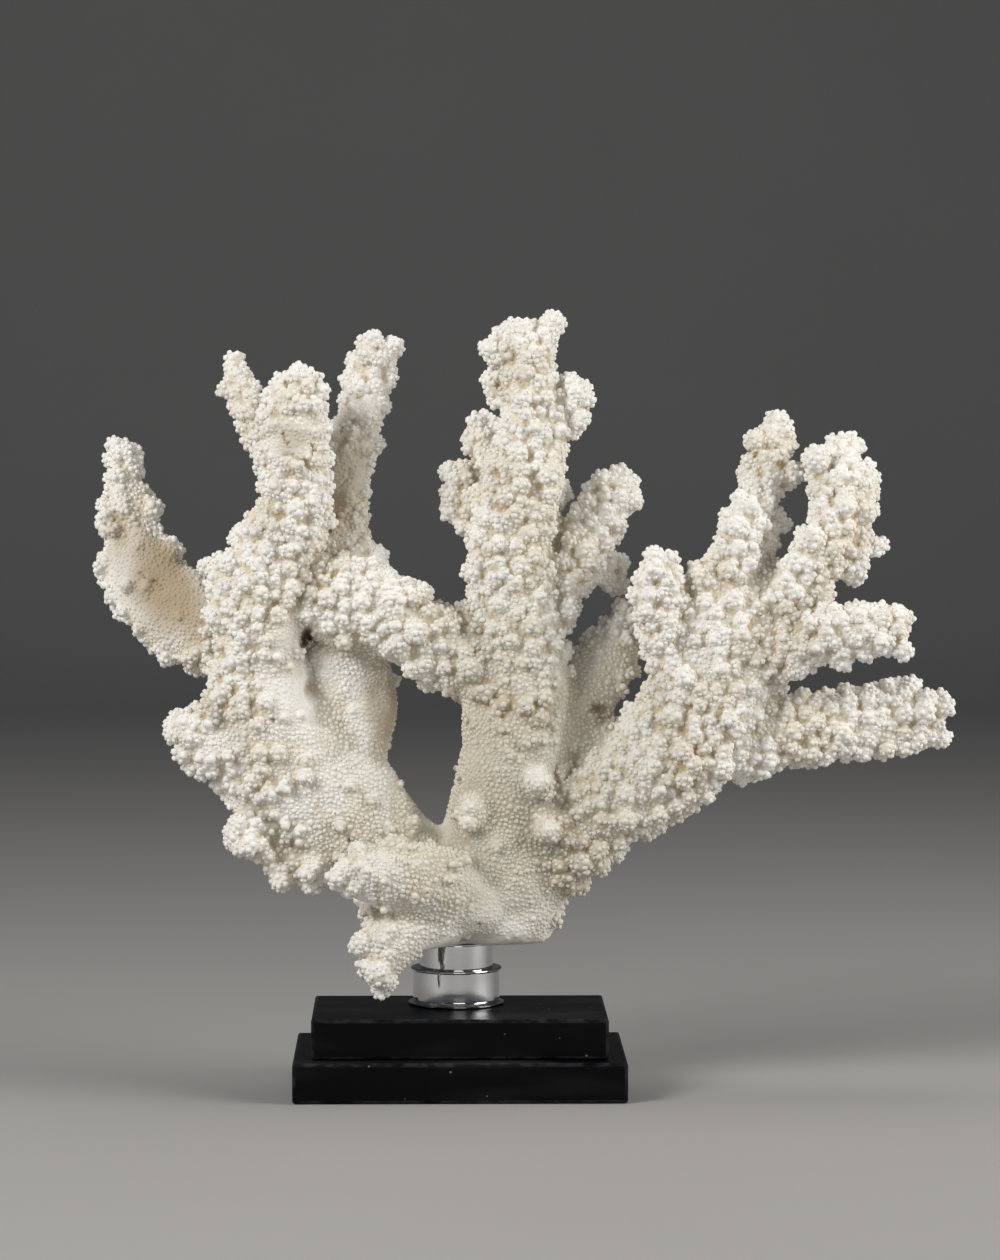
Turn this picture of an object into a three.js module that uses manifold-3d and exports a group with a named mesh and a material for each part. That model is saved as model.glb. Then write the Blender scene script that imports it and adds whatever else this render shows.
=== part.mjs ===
import * as THREE from 'three';
import { LoftGeometry } from 'three/addons/geometries/LoftGeometry.js';
import { RoundedBoxGeometry } from 'three/addons/geometries/RoundedBoxGeometry.js';
import { SimplexNoise } from 'three/addons/math/SimplexNoise.js';
import { mergeVertices } from 'three/addons/utils/BufferGeometryUtils.js';
import Module from 'manifold-3d';

// Millimetres, +Z up. The origin is the middle of the plinth's underside and -Y is the front.

// clearance between neighbouring pieces
const gap = 0.3;

// two-tier plinth
const tierHigh = 19;
const lowerWide = 154;
const lowerDeep = 100;
const upperWide = 137;
const upperDeep = 83;
const tierEdge = 1.6;

// turned collar, standing a little behind the middle of the plinth
const collarX = -1.4;
const collarY = 12;
const collarHigh = 30;
const flangeRadius = 22.5;
const flangeHigh = 2.4;
const lowerDrumRadius = 20.4;
const beadRadius = 21.4;
const beadHigh = 1.6;
const upperDrumRadius = 17.2;
const rimRadius = 19;
const rimHigh = 1;
const shoulderHigh = 17.4;
const collarSides = 24;

// coral limbs: spacing of the cross sections, length of their sides, and the size of the swellings
const ringStep = 18;
const sideLength = 14;
const fewestSides = 6;
const mostSides = 8;
const swellShare = 0.07;
const swellSize = 17;

// lumps from this radius up are rounder
const detailedLump = 10;

// knobs that crowd the outer part of a limb
const knobSmall = 3;
const knobLarge = 4.4;
const knobbyShare = 0.5;

const coralColour = 0xe8e1d2;
const paintColour = 0x101113;
const chromeColour = 0xc9ccd0;

const collarBottom = tierHigh * 2 + gap / 2;
const coralBottom = tierHigh * 2 + collarHigh + gap / 2;

const wasm = await Module();
wasm.setup();

// Repeatable random numbers from 0 to 1.
function seeded(seed) {
  let state = seed;
  return () => {
    state = (state * 1664525 + 1013904223) % 4294967296;
    return state / 4294967296;
  };
}

const swelling = new SimplexNoise({ random: seeded(11) });

function solidOf(geometry) {
  const bare = new THREE.BufferGeometry();
  bare.setAttribute('position', geometry.getAttribute('position'));
  bare.setIndex(geometry.getIndex());
  const welded = mergeVertices(bare, 1e-4);
  return new wasm.Manifold(new wasm.Mesh({
    numProp: 3,
    vertProperties: new Float32Array(welded.getAttribute('position').array),
    triVerts: new Uint32Array(welded.getIndex().array),
  }));
}

function geometryOf(solid) {
  const mesh = solid.getMesh();
  const geometry = new THREE.BufferGeometry();
  geometry.setAttribute('position', new THREE.Float32BufferAttribute(mesh.vertProperties, 3));
  geometry.setIndex(Array.from(mesh.triVerts));
  geometry.computeVertexNormals();
  return geometry;
}

// Rings of a limb from its root to its rounded end. A station is [x, y, z, half width, half depth]:
// the width lies in the front view, the depth runs front to back, and the last station is the
// middle of the rounded end.
function limbRings(stations) {
  const points = stations.map(([x, y, z]) => new THREE.Vector3(x, y, z));
  const curve = new THREE.CatmullRomCurve3(points);
  const spans = stations.length - 1;
  const rings = [];
  for (let span = 0; span < spans; span += 1) {
    const steps = Math.max(1, Math.round(points[span].distanceTo(points[span + 1]) / ringStep));
    for (let step = 0; step < steps; step += 1) {
      const share = step / steps;
      const at = (span + share) / spans;
      rings.push({
        centre: curve.getPoint(at),
        along: curve.getTangent(at),
        wide: THREE.MathUtils.lerp(stations[span][3], stations[span + 1][3], share),
        deep: THREE.MathUtils.lerp(stations[span][4], stations[span + 1][4], share),
      });
    }
  }
  const along = curve.getTangent(1);
  const [wide, deep] = stations[spans].slice(3);
  const round = Math.min(wide, deep);
  for (const [ahead, shrink] of [[0, 1], [0.8, 0.6]]) {
    rings.push({
      centre: points[spans].clone().addScaledVector(along, ahead * round),
      along,
      wide: wide * shrink,
      deep: deep * shrink,
    });
  }
  return rings;
}

// Corner points of every ring, swollen unevenly and pushed out all round by the amount grow.
function limbSections(rings, grow) {
  const girth = Math.max(...rings.map(({ wide, deep }) => Math.PI * (wide + deep)));
  const sides = THREE.MathUtils.clamp(Math.round(girth / sideLength), fewestSides, mostSides);
  const cornerShare = 2 / (1 + Math.cos(Math.PI / sides));
  return rings.map(({ centre, along, wide, deep }, row) => {
    const middle = centre.clone();
    if (row === 0) middle.addScaledVector(along, -grow);
    if (row === rings.length - 1) middle.addScaledVector(along, grow);
    const depthAxis = new THREE.Vector3(0, 1, 0).addScaledVector(along, -along.y).normalize();
    const widthAxis = new THREE.Vector3().crossVectors(depthAxis, along);
    return Array.from({ length: sides }, (_, side) => {
      const turn = ((side + row / 2) / sides) * Math.PI * 2;
      const out = new THREE.Vector3()
        .addScaledVector(widthAxis, Math.cos(turn) * wide)
        .addScaledVector(depthAxis, Math.sin(turn) * deep);
      const spot = centre.clone().add(out).divideScalar(swellSize);
      const swell = 1 + swellShare * swelling.noise3d(spot.x, spot.y, spot.z);
      return out.setLength(out.length() * cornerShare * swell + grow).add(middle);
    });
  });
}

// Small knobs seated on the outer part of a limb.
function knobsOn(rings, count, random) {
  const sections = limbSections(rings, 0);
  const firstRow = Math.floor(sections.length * (1 - knobbyShare));
  return Array.from({ length: count }, () => {
    const row = firstRow + Math.floor(random() * (sections.length - firstRow));
    const corner = sections[row][Math.floor(random() * sections[row].length)];
    const seat = corner.clone().lerp(rings[row].centre, 0.12);
    return [seat.x, seat.y, seat.z, THREE.MathUtils.lerp(knobSmall, knobLarge, random())];
  });
}

function ballSolid([x, y, z, radius], detail, grow) {
  const ball = new THREE.IcosahedronGeometry(radius + grow, detail);
  ball.rotateX(x + z);
  ball.rotateZ(y + z);
  ball.translate(x, y, z);
  return solidOf(ball);
}

function limbSolid(rings, grow) {
  const sections = limbSections(rings, grow);
  return solidOf(new LoftGeometry(sections, { closed: true, capStart: true, capEnd: true }));
}

// All limbs, lumps and knobs of one coral node joined to one solid.
function grownSolid({ limbs, lumps }, grow) {
  const random = seeded(29);
  const solids = [];
  for (const { stations, knobs } of limbs) {
    const rings = limbRings(stations);
    solids.push(limbSolid(rings, grow));
    knobsOn(rings, knobs, random).forEach((knob) => solids.push(ballSolid(knob, 0, grow)));
  }
  lumps.forEach((lump) => solids.push(ballSolid(lump, lump[3] < detailedLump ? 0 : 1, grow)));
  return solids.reduce((joined, solid) => joined.add(solid));
}

// The nodes of the coral in order of growth: each one starts at the surface of those before it.
const coral = {
  coral_trunk: {
    limbs: [
      {
        knobs: 0,
        stations: [
          [11.5, 9, 60, 25, 20],
          [12, 8, 72, 28.5, 22],
          [15, 6, 87, 32, 24],
          [20, 4, 104, 30.5, 23],
          [21, 2, 130, 25.5, 20],
          [26, 0, 158, 23, 19],
          [26, 0, 184, 25.5, 18],
          [27, -1, 196, 25, 17],
        ],
      },
      {
        knobs: 1,
        stations: [
          [20, 12, 112, 18, 16],
          [23, 30, 136, 15, 14],
          [26, 42, 160, 11, 11],
          [28, 48, 178, 8, 8],
        ],
      },
    ],
    lumps: [[4.5, -15, 131, 9.5], [36.5, -17, 145.5, 8.5], [41.5, -18, 123, 8.5]],
  },

  coral_front_lobe: {
    limbs: [
      {
        knobs: 1,
        stations: [
          [12, -8, 84, 14, 13],
          [-10, -19, 96, 19, 15],
          [-30, -29, 103, 17, 15],
          [-46, -36, 104, 12, 12],
          [-53, -39, 102.5, 8, 8],
        ],
      },
      {
        knobs: 1,
        stations: [
          [-4, -12, 80, 12, 11],
          [-20, -22, 77, 11, 11],
          [-33, -29, 71, 13, 12],
          [-36, -32, 61, 11, 10],
          [-34.5, -33, 55, 6.5, 6.5],
        ],
      },
      {
        knobs: 0,
        stations: [
          [-6, -6, 86, 13, 12],
          [-26, -12, 87, 11, 11],
          [-39, -15, 87, 9, 9],
        ],
      },
    ],
    lumps: [[-43, -38, 109, 8], [-29, -34, 112, 8], [-45.5, -33, 71, 7]],
  },

  coral_left_limb: {
    limbs: [
      {
        knobs: 0,
        stations: [
          [2, 6, 93, 16, 16],
          [-28, 4, 111, 19.5, 17],
          [-52, 2, 128, 31.5, 18],
          [-74, 0, 142, 33, 18],
          [-90, -4, 161, 30, 17],
          [-95, -6, 185, 23.5, 16],
          [-94, -6, 198, 22, 15],
        ],
      },
      {
        knobs: 1,
        stations: [
          [-100, -6, 161, 16, 12],
          [-117, -8, 163.5, 17, 12],
          [-126.5, -9, 169, 12, 10.5],
        ],
      },
      {
        knobs: 1,
        stations: [
          [-70, 8, 146, 17, 14],
          [-80, 26, 168, 13, 12],
          [-88, 36, 188, 9, 9],
        ],
      },
    ],
    lumps: [[-99, -9, 120, 11.5], [-91, -9, 111, 8], [-83, -7, 101.5, 8], [-69, -5, 104, 10]],
  },

  coral_right_limb: {
    limbs: [
      {
        knobs: 0,
        stations: [
          [30, 4, 102, 22, 18],
          [48, 2, 114, 22, 18],
          [68, 0, 133, 22.5, 18],
          [97, -4, 155, 28.5, 18],
          [114, -7, 180, 28.5, 17],
          [120, -9, 204, 32, 16],
          [121, -9, 226, 28, 14],
          [120, -9, 234, 20, 12],
        ],
      },
      {
        knobs: 1,
        stations: [
          [99, -10, 205, 14, 12],
          [92, -16, 227, 12.5, 11],
          [91.5, -19, 241, 10.5, 9.5],
          [92, -20, 247.5, 7.5, 7.5],
        ],
      },
      {
        knobs: 1,
        stations: [
          [104, 4, 172, 18, 14],
          [112, 24, 196, 13, 12],
          [118, 36, 216, 9, 9],
        ],
      },
    ],
    lumps: [[112, -12, 241, 8], [146, -6, 192, 9]],
  },

  coral_right_inner_lobe: {
    limbs: [
      {
        knobs: 1,
        stations: [
          [38, 6, 166, 15, 12],
          [56, 13, 182, 17, 12],
          [70.5, 18, 199, 16, 11],
          [77, 20, 215, 10, 9],
          [78, 21, 221, 6.5, 6.5],
        ],
      },
      {
        knobs: 0,
        stations: [
          [40, 2, 157, 10, 9],
          [58, 6, 163, 8.5, 8],
          [71, 9, 170, 5.5, 5.5],
        ],
      },
    ],
    lumps: [],
  },

  coral_left_column: {
    limbs: [
      {
        knobs: 3,
        stations: [
          [-93, -6, 196, 20, 15],
          [-93, -9, 214, 22, 16],
          [-93.5, -10, 230, 25, 16],
          [-84, -13, 250, 22, 15],
          [-76, -17, 270, 17, 13.5],
          [-76.5, -20, 290, 17.5, 13.5],
          [-77, -22, 306, 17, 13.5],
          [-75.5, -23, 321, 15, 12],
          [-72.5, -24, 329, 12, 9.5],
        ],
      },
    ],
    lumps: [[-108, -9, 240, 11.5], [-98, -11, 255, 9], [-82, -23, 326, 7.5]],
  },

  coral_bridge: {
    limbs: [
      {
        knobs: 2,
        stations: [
          [14, -2, 198, 18, 13],
          [-4, -3, 204, 19.5, 14],
          [-20, -6, 213, 17.5, 14],
          [-38, -9, 227, 20.5, 14],
          [-56, -10, 231, 22, 14],
          [-74, -9, 232, 20, 13],
        ],
      },
    ],
    lumps: [[-39, -4, 248, 8]],
  },

  coral_inner_lobe: {
    limbs: [
      {
        knobs: 0,
        stations: [
          [-52, 3, 146, 13, 11],
          [-51, 6, 162, 18, 13],
          [-50, 7, 178, 22.5, 13],
          [-53, 6, 195, 21, 13],
          [-54, 3, 206, 18, 11],
        ],
      },
    ],
    lumps: [],
  },

  coral_far_left_branch: {
    limbs: [
      {
        knobs: 3,
        stations: [
          [-104, 12, 210, 20, 11],
          [-131, 22, 220, 22, 11],
          [-151, 28, 239, 19, 11],
          [-154, 32, 262, 13.5, 10],
          [-157, 35, 280, 9, 8],
          [-159.5, 37, 295.5, 8.5, 8],
        ],
      },
    ],
    lumps: [[-165, 32, 264, 8], [-165, 28, 242, 8], [-144, 30, 270, 6], [-135, 26, 252, 7]],
  },

  coral_left_rear_branch: {
    limbs: [
      {
        knobs: 2,
        stations: [
          [-81, 4, 288, 10, 10],
          [-91, 16, 304, 9.5, 9],
          [-99.5, 23, 320, 8, 7.5],
          [-104, 27, 331, 6.5, 6],
          [-106, 28, 337, 4.5, 4.5],
        ],
      },
      {
        knobs: 0,
        stations: [
          [-97, 22, 317, 6, 6],
          [-106, 26, 324.5, 4.8, 4.8],
          [-110, 28, 326, 3.8, 3.8],
        ],
      },
    ],
    lumps: [],
  },

  coral_left_centre_branch: {
    limbs: [
      {
        knobs: 3,
        stations: [
          [-54, -2, 244, 14, 11],
          [-55, 3, 262, 13.5, 10.5],
          [-54.5, 6, 282, 13.5, 10],
          [-51.5, 10, 300, 12, 10],
          [-44.5, 12, 318, 11, 10],
          [-41, 13, 335, 9.5, 8.5],
          [-40, 13, 346, 7, 7],
        ],
      },
    ],
    lumps: [[-30.5, 13, 347.5, 6], [-52.5, 12, 331, 5.5], [-32, 13, 334, 6], [-48, 13, 340, 5]],
  },

  coral_centre_branch: {
    limbs: [
      {
        knobs: 2,
        stations: [
          [27, -1, 194, 24, 16],
          [27, -3, 212, 24, 16],
          [25.5, -4, 230, 20.5, 15],
          [23, -5, 254, 20, 15],
          [27, -6, 278, 19.5, 14.5],
          [33, -7, 298, 17.5, 13.5],
          [34, -7, 318, 13, 12],
          [33, -7, 336, 12.5, 11.5],
          [27, -6, 351, 9, 9],
        ],
      },
      {
        knobs: 0,
        stations: [
          [28, -6, 336, 8, 8],
          [17, -7, 345, 6.5, 6.5],
          [14, -8, 346.5, 5.5, 5.5],
        ],
      },
      {
        knobs: 0,
        stations: [
          [32, -5, 340, 8, 8],
          [41, -4, 351, 6, 6],
          [43.5, -4, 357, 4.8, 4.8],
        ],
      },
      {
        knobs: 2,
        stations: [
          [40, -6, 309, 10, 9],
          [53, -6, 314, 9, 8.5],
          [54.5, -6, 325, 7.5, 7],
        ],
      },
      {
        knobs: 0,
        stations: [
          [22, 8, 288, 10, 9],
          [10.5, 16, 301, 10, 8.5],
          [9.5, 18, 309.5, 7.5, 7],
        ],
      },
      {
        knobs: 2,
        stations: [
          [19, 4, 260, 11, 10],
          [2, 11, 273, 11.5, 9.5],
          [-1, 13, 284, 8, 7.5],
        ],
      },
      {
        knobs: 0,
        stations: [
          [30, 0, 316, 8, 8],
          [18, 5, 328, 6, 6],
          [15, 6, 334, 5, 5],
        ],
      },
      {
        knobs: 0,
        stations: [
          [34, 4, 258, 9, 8],
          [42, 14, 271, 6.5, 6],
          [47.5, 20, 281, 4.8, 4.8],
        ],
      },
    ],
    lumps: [[21, -6, 354, 6], [31, -5, 356, 6], [4, 8, 222, 6.5]],
  },

  coral_centre_right_branch: {
    limbs: [
      {
        knobs: 2,
        stations: [
          [38, -1, 214, 13, 11],
          [46, 3, 232, 12, 11],
          [54, 6, 248, 11.5, 10.5],
          [64, 9, 264, 13.5, 10.5],
          [71.5, 11, 277, 12.5, 9.5],
          [75, 12, 282.5, 8, 8],
        ],
      },
      {
        knobs: 0,
        stations: [
          [50, 12, 236, 8, 8],
          [66, 23, 241, 6, 6],
          [77, 28, 245, 4.3, 4.3],
        ],
      },
      {
        knobs: 0,
        stations: [
          [66, 23, 240, 5, 5],
          [75, 28, 235, 3.8, 3.8],
        ],
      },
    ],
    lumps: [[81.5, 12, 276, 5.5]],
  },

  coral_right_rear_branch: {
    limbs: [
      {
        knobs: 2,
        stations: [
          [131, -4, 236, 13, 11],
          [138, 7, 258, 11.5, 10.5],
          [141, 15, 275, 10, 9.5],
          [144, 20, 292, 11, 10],
          [148, 22, 305, 9.5, 8.5],
          [151, 22, 312, 6.5, 6],
        ],
      },
      {
        knobs: 2,
        stations: [
          [122, -8, 232, 13, 11],
          [127.5, -10, 252, 12.5, 10.5],
          [131, -10, 266, 9.5, 8.5],
          [132, -10, 271, 7, 7],
        ],
      },
    ],
    lumps: [[156, 18, 288, 7.5], [152, 12, 263, 4.5], [137, 20, 303, 5.5]],
  },

  coral_right_tall_branch: {
    limbs: [
      {
        knobs: 3,
        stations: [
          [146, -8, 224, 14, 12],
          [160, -7, 241, 13, 12],
          [173, -5, 259, 13.5, 12],
          [180, -3, 276, 15.5, 12],
          [183, -2, 285.5, 12, 10],
        ],
      },
      {
        knobs: 0,
        stations: [
          [173, -3, 276, 9, 8],
          [167.5, -2, 288, 6, 6],
          [166.5, -2, 293, 5, 5],
        ],
      },
      {
        knobs: 0,
        stations: [
          [178, 4, 284, 7, 7],
          [175.5, 13, 298, 4.8, 4.8],
          [175, 15, 302, 4, 4],
        ],
      },
      {
        knobs: 0,
        stations: [
          [180, 4, 284, 7, 7],
          [183.5, 13, 298, 4.8, 4.8],
          [185.5, 15, 304.5, 3.8, 3.8],
        ],
      },
      {
        knobs: 0,
        stations: [
          [182, -3, 256, 9, 8],
          [193, -3, 254, 6.5, 6],
          [197, -3, 255, 4.5, 4.5],
        ],
      },
      {
        knobs: 0,
        stations: [
          [176, -5, 250, 10, 9],
          [184, -4, 242, 7, 6.5],
          [185.5, -4, 238.5, 5, 5],
        ],
      },
    ],
    lumps: [[189, -2, 285, 8], [168, -9, 231, 8.5]],
  },

  coral_right_upper_finger: {
    limbs: [
      {
        knobs: 3,
        stations: [
          [140, -10, 206, 17, 12],
          [157, -14, 210, 14, 11],
          [172, -18, 214, 14.5, 11],
          [188, -20, 215.5, 13.5, 10.5],
          [199, -21, 215.5, 11.5, 9],
        ],
      },
    ],
    lumps: [[205, -22, 222, 6], [204, -22, 208, 6], [177, -20, 202, 6.5], [161, -15, 202, 5]],
  },

  coral_right_lower_finger: {
    limbs: [
      {
        knobs: 3,
        stations: [
          [123, -2, 158.5, 20.5, 14],
          [149, 2, 167.5, 18, 14],
          [168, 5, 167.5, 18, 13],
          [186, 7, 169.5, 16.5, 12],
          [202, 9, 173, 18.5, 12],
          [214, 10, 175, 17.5, 11],
          [221.5, 10, 174.5, 9, 8],
        ],
      },
    ],
    lumps: [[212, 10, 187, 7], [227, 10, 181, 5], [178, 6, 157, 5], [212, 10, 161, 6.5], [222, 10, 164, 6.5]],
  },
};

function tier(wide, deep, bottom) {
  const high = tierHigh - gap;
  const board = new RoundedBoxGeometry(wide, deep, high, 1, tierEdge);
  board.translate(0, 0, bottom + high / 2);
  return board;
}

// Half outline of the collar from its underside to its top, as [radius, height].
function collarGeometry() {
  const top = collarHigh - gap;
  const outline = [
    [0, 0],
    [flangeRadius, 0],
    [flangeRadius, flangeHigh * 0.3],
    [lowerDrumRadius + 0.6, flangeHigh * 0.6],
    [lowerDrumRadius, flangeHigh],
    [lowerDrumRadius, shoulderHigh - beadHigh],
    [beadRadius, shoulderHigh - beadHigh * 0.7],
    [beadRadius, shoulderHigh],
    [upperDrumRadius, shoulderHigh],
    [upperDrumRadius, top - rimHigh],
    [rimRadius, top - rimHigh * 0.7],
    [rimRadius, top],
    [0, top],
  ];
  const turned = new THREE.LatheGeometry(outline.map(([r, z]) => new THREE.Vector2(r, z)), collarSides);
  turned.rotateX(Math.PI / 2);
  turned.translate(collarX, collarY, collarBottom);
  return geometryOf(solidOf(turned));
}

const part = new THREE.Group();
part.name = 'branching_coral';

function place(name, geometry, finish) {
  const mesh = new THREE.Mesh(geometry, new THREE.MeshStandardMaterial(finish));
  mesh.name = name;
  part.add(mesh);
}

const paint = { color: paintColour, roughness: 0.4, metalness: 0 };
place('plinth_lower', tier(lowerWide, lowerDeep, 0), paint);
place('plinth_upper', tier(upperWide, upperDeep, tierHigh), paint);
place('collar', collarGeometry(), { color: chromeColour, roughness: 0.08, metalness: 1 });

// everything below the flat cut that sits on the collar
const belowCut = new THREE.BoxGeometry(140, 140, coralBottom);
belowCut.translate(0, collarY, coralBottom / 2);
let taken = solidOf(belowCut);

for (const [name, node] of Object.entries(coral)) {
  const hangs = name === 'coral_front_lobe';
  const grown = grownSolid(node, 0);
  const free = hangs ? grown.subtract(grownSolid(coral.coral_trunk, gap)) : grown.subtract(taken);
  const pieces = free.decompose();
  pieces.sort((one, other) => other.volume() - one.volume());
  place(name, geometryOf(pieces[0]), { color: coralColour, roughness: 0.85, metalness: 0, flatShading: true });
  taken = taken.add(grownSolid(node, gap));
}

export default part;
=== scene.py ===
import math

import bmesh
import bpy
import numpy as np
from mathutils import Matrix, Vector, kdtree, noise
from mathutils.bvhtree import BVHTree


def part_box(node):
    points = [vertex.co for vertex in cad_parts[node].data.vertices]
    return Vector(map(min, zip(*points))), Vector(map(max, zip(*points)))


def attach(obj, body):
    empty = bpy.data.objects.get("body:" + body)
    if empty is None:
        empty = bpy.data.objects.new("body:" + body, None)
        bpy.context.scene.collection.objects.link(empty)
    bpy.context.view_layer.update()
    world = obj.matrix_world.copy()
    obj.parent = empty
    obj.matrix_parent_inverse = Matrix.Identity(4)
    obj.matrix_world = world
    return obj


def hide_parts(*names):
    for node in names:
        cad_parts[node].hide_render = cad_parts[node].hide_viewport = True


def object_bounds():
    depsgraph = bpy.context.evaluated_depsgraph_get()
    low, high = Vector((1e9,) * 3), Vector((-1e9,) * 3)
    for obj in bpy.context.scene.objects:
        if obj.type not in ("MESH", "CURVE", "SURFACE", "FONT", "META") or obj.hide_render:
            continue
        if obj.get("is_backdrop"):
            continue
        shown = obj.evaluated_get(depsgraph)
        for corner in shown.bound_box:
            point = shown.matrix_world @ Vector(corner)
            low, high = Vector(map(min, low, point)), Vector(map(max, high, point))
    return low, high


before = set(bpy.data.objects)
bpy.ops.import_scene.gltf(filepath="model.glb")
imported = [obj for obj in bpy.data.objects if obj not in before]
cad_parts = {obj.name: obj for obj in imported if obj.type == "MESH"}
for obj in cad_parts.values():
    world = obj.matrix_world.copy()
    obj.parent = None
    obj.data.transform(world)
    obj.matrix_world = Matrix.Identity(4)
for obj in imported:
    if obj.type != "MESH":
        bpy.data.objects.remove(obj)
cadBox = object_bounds()
mm = 0.001
coralNodes = [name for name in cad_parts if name.startswith("coral_")]
print("frame loaded:", len(coralNodes), "coral nodes")


def meshFromFaces(name, points, faces):
    mesh = bpy.data.meshes.new(name)
    corners = faces.shape[1]
    mesh.vertices.add(len(points))
    mesh.vertices.foreach_set("co", np.ascontiguousarray(points, dtype=np.float32).ravel())
    mesh.loops.add(faces.size)
    mesh.loops.foreach_set("vertex_index", np.ascontiguousarray(faces, dtype=np.int32).ravel())
    mesh.polygons.add(len(faces))
    mesh.polygons.foreach_set("loop_start", np.arange(0, faces.size, corners, dtype=np.int32))
    mesh.update(calc_edges=True)
    return mesh


def objectFromMesh(mesh):
    obj = bpy.data.objects.new(mesh.name, mesh)
    bpy.context.scene.collection.objects.link(obj)
    return obj


def pointsOf(mesh):
    points = np.empty(len(mesh.vertices) * 3, dtype=np.float32)
    mesh.vertices.foreach_get("co", points)
    return points.reshape(-1, 3).astype(np.float64)


def trianglesOf(mesh):
    mesh.calc_loop_triangles()
    triangles = np.empty(len(mesh.loop_triangles) * 3, dtype=np.int32)
    mesh.loop_triangles.foreach_get("vertices", triangles)
    return triangles.reshape(-1, 3)


def edgesOf(mesh):
    edges = np.empty(len(mesh.edges) * 2, dtype=np.int32)
    mesh.edges.foreach_get("vertices", edges)
    return edges.reshape(-1, 2)


def scatterSum(index, values, count):
    return np.stack([np.bincount(index, values[:, axis], count) for axis in range(values.shape[1])], axis=1)


def vertexNormals(points, triangles):
    a, b, c = (points[triangles[:, corner]] for corner in range(3))
    across = np.cross(b - a, c - a)
    total = scatterSum(triangles.T.ravel(), np.tile(across, (3, 1)), len(points))
    return total / np.maximum(np.linalg.norm(total, axis=1), 1e-12)[:, None]


def relaxed(values, edges, rounds, share=0.5):
    count = len(values)
    degree = np.maximum(np.bincount(edges.ravel(), minlength=count), 1)[:, None]
    both = np.concatenate([edges[:, 0], edges[:, 1]])
    other = np.concatenate([edges[:, 1], edges[:, 0]])
    for _ in range(rounds):
        values = values + share * (scatterSum(both, values[other], count) / degree - values)
    return values


def voxelSkin(name, points, triangles, voxel):
    source = objectFromMesh(meshFromFaces(name + "Source", points, triangles))
    remesh = source.modifiers.new("skin", "REMESH")
    remesh.mode = "VOXEL"
    remesh.voxel_size = voxel
    remesh.adaptivity = 0.0
    evaluated = source.evaluated_get(bpy.context.evaluated_depsgraph_get())
    skin = bpy.data.meshes.new_from_object(evaluated)
    old = source.data
    bpy.data.objects.remove(source)
    bpy.data.meshes.remove(old)
    return skin


# coral: one skin over all its solids, with knobs on it and then granules over everything

coralForm = {
    "closeForks": 0.45 * mm,     # swell that closes the gaps between the solids
    "voxel": 1.6 * mm,
    "meltRounds": 14,            # takes the facets off the solids
    "broadRounds": 70,           # how wide an area counts as a tip
    "tipHeight": (1.0 * mm, 3.0 * mm),   # standing out from no tip to a full tip
    "crease": 0.4 * mm,          # creases deeper than this are filled
    "ground": ((9 * mm, 1.1 * mm), (4.5 * mm, 0.7 * mm)),   # size and height of the uneven ground
    "groundSeed": 9,
    "settleRounds": 2,
}
knobs = {
    "seed": 41,
    "small": 3.0 * mm,           # radius on the limbs
    "large": 3.7 * mm,           # radius at the tips
    "spread": 0.25,              # unevenness of the radius
    "spacing": 1.62,             # distance between neighbours, in radii
    "stray": 0.8 * mm,           # how far a knob strays from an even layout
    "sink": 0.0,                 # seat on the limbs, in radii from the surface
    "lift": 0.38,                # seat at the tips
    "drawIn": (2.7 * mm, 4.8 * mm),   # limbs and tips give way so that the knobs end at the outline
    "thickness": (0.20, 0.30),   # largest share of a limb's thickness that gives way, and knob radius
    "thickest": 40 * mm,
    "voxel": 1.2 * mm,
    "clumps": (6 * mm, 0.5, 0.9),     # knobs thin out in clumps: size, level and unevenness
    "clumpSeed": 3,
    "tipGain": 1.6,              # tips are knobby on most plain nodes too
    "smallest": 0.6,             # size of the last knobs where they thin out
    "blendRounds": 180,          # knobby nodes fade into plain ones
    "usualShare": 0.9,
    "share": {                   # how much of a node is knobby, apart from its edges and tips
        "coral_trunk": 0.0,
        "coral_front_lobe": 0.15,
        "coral_left_limb": 0.1,
        "coral_inner_lobe": -1.0,
        "coral_right_inner_lobe": 0.2,
        "coral_far_left_branch": 0.5,
    },
    "patchEdge": 1.6,            # a patch fades out at this many radii
    "plain": [                   # smooth patches: middle and radius
        ((-0.034, -0.004, 0.182), 0.014),
        ((-0.077, -0.036, 0.303), 0.011),
        ((-0.054, -0.004, 0.288), 0.011),
        ((-0.140, 0.014, 0.236), 0.020),
        ((-0.074, -0.016, 0.186), 0.014),
        ((-0.078, -0.024, 0.212), 0.009),
        ((0.012, -0.016, 0.076), 0.020),
        ((-0.012, 0.002, 0.118), 0.014),
    ],
    "rough": [                   # patches that are knobby all over
        ((-0.114, -0.012, 0.180), 0.024),
        ((-0.097, -0.014, 0.150), 0.020),
        ((-0.094, -0.012, 0.118), 0.016),
        ((-0.104, -0.016, 0.205), 0.016),
        ((0.016, -0.020, 0.184), 0.011),
        ((0.040, -0.020, 0.176), 0.012),
        ((0.004, -0.016, 0.164), 0.007),
        ((0.030, -0.022, 0.160), 0.006),
    ],
}


def patchShare(points, kind="plain"):
    share = np.zeros(len(points))
    for middle, radius in knobs[kind]:
        away = np.linalg.norm(points - np.array(middle), axis=1) / radius
        share = np.maximum(share, np.clip(knobs["patchEdge"] - away, 0, 1))
    return share


def waves(points, size, seed):
    shift = Vector((seed * 3.7, seed * 1.3, seed * 2.1))
    return np.array([noise.noise(Vector(p) / size + shift) for p in points])


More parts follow.
